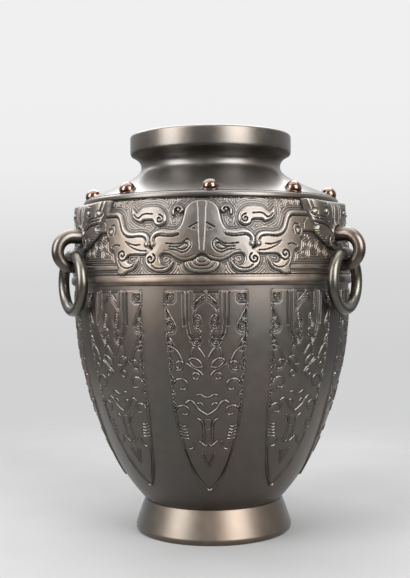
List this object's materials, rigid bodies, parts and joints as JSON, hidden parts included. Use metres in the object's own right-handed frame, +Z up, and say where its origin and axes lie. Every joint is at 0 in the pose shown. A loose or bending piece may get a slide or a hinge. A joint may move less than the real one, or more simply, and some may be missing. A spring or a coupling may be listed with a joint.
{
  "type": "vase",
  "caption": "Bronze baluster vase with a flared foot, relief frieze and blades, domed shoulder bosses, and masked loop handles that carry free-swinging rings.",
  "frame": {"origin": "on the vase's turning axis, in the plane that it stands on: the centre of the base plate's underside", "axes": "+Z up along the turning axis, -Y towards the front, the front face of the frieze between the left and right handles, +X to the right of a viewer in front"},
  "size_m": [0.2244, 0.236, 0.3],
  "materials": {
    "body": "dark brown patinated bronze, cast relief, satin",
    "turned": "dark brown patinated bronze, turned and waxed",
    "foot": "warmer brown patinated bronze, turned and waxed",
    "boss": "coppery bronze, rubbed bright on the domes",
    "mask": "brown bronze, relief rubbed lighter on the edges",
    "loop": "brown bronze, rubbed coppery on the outer bend",
    "ring": "olive brown bronze, rubbed smooth"
  },
  "bodies": {
    "vase": {"foot_ring": "foot", "base_plate": "foot", "body_wall": "body", "shoulder_neck": "turned", "shoulder_boss_1": "boss", "shoulder_boss_2": "boss", "shoulder_boss_3": "boss", "shoulder_boss_4": "boss", "shoulder_boss_5": "boss", "shoulder_boss_6": "boss", "shoulder_boss_7": "boss", "shoulder_boss_8": "boss", "shoulder_boss_9": "boss", "mask_left": "mask", "loop_left": "loop", "mask_right": "mask", "loop_right": "loop", "mask_back": "mask", "loop_back": "loop"},
    "left_ring": {"ring_left": "ring"},
    "right_ring": {"ring_right": "ring"},
    "back_ring": {"ring_back": "ring"}
  },
  "joints": [
    {"name": "left_ring_swing", "type": "hinge", "parent": "vase", "child": "left_ring", "pos_m": [-0.09725, -0.05615, 0.2085], "axis": [-0.5, 0.866, 0], "range_deg": [-5, 185]},
    {"name": "right_ring_swing", "type": "hinge", "parent": "vase", "child": "right_ring", "pos_m": [0.09725, -0.05615, 0.2085], "axis": [-0.5, -0.866, 0], "range_deg": [-5, 185]},
    {"name": "back_ring_swing", "type": "hinge", "parent": "vase", "child": "back_ring", "pos_m": [0, 0.1123, 0.2085], "axis": [1, 0, 0], "range_deg": [-5, 185]}
  ]
}
